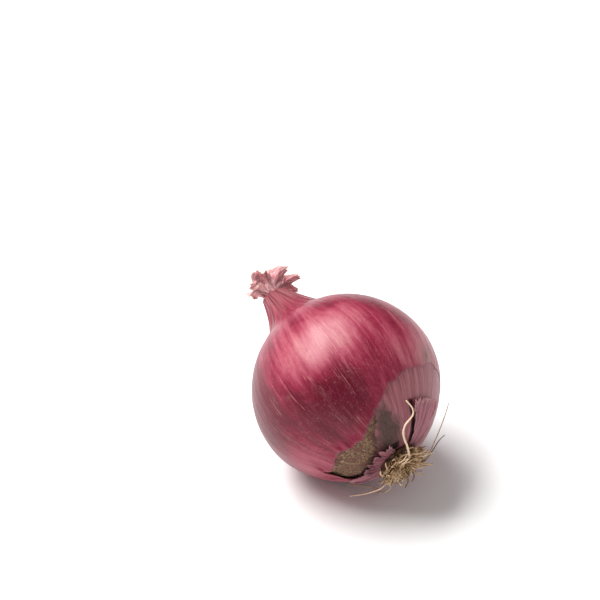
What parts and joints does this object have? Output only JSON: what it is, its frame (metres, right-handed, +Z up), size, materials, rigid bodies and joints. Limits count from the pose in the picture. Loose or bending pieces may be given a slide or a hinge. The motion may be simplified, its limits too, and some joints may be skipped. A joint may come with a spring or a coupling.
{
  "type": "red onion",
  "caption": "Red onion bulb lying on its side, with a tapering neck, crumpled dried leaf ends, torn dry skin and a tuft of dried roots.",
  "frame": {"origin": "middle of the small flat spot that the bulb rests on, at table height", "axes": "+Z up; +X towards the root end, level with the table; the neck points to -X and 20.5 degrees up; -Y is the side that was pictured"},
  "size_m": [0.1038, 0.0758, 0.0748],
  "materials": {
    "bulb_skin": "satin",
    "loose_skin": "satin",
    "root_plate": "matte",
    "root_fibre": "matte",
    "leaf_end": "matte"
  },
  "bodies": {
    "root": {"bulb": "bulb_skin", "root_plate": "root_plate", "root_curled": "root_fibre", "root_straight": "root_fibre", "root_dark": "root_fibre", "root_pale": "root_fibre", "root_on_table": "root_fibre", "root_short_01": "root_fibre", "root_short_02": "root_fibre", "root_short_03": "root_fibre", "root_short_04": "root_fibre", "root_short_05": "root_fibre", "root_short_06": "root_fibre", "root_short_07": "root_fibre", "root_short_08": "root_fibre", "root_short_09": "root_fibre", "root_short_10": "root_fibre", "root_short_11": "root_fibre", "root_short_12": "root_fibre", "root_short_13": "root_fibre", "root_short_14": "root_fibre", "root_short_15": "root_fibre", "root_short_16": "root_fibre", "root_short_17": "root_fibre", "root_short_18": "root_fibre", "skin_piece_upper": "loose_skin", "skin_piece_middle": "loose_skin", "skin_piece_lower": "loose_skin", "leaf_end_1": "leaf_end", "leaf_end_2": "leaf_end", "leaf_end_3": "leaf_end", "leaf_end_4": "leaf_end", "leaf_end_5": "leaf_end", "leaf_end_6": "leaf_end", "leaf_end_7": "leaf_end"}
  },
  "joints": []
}
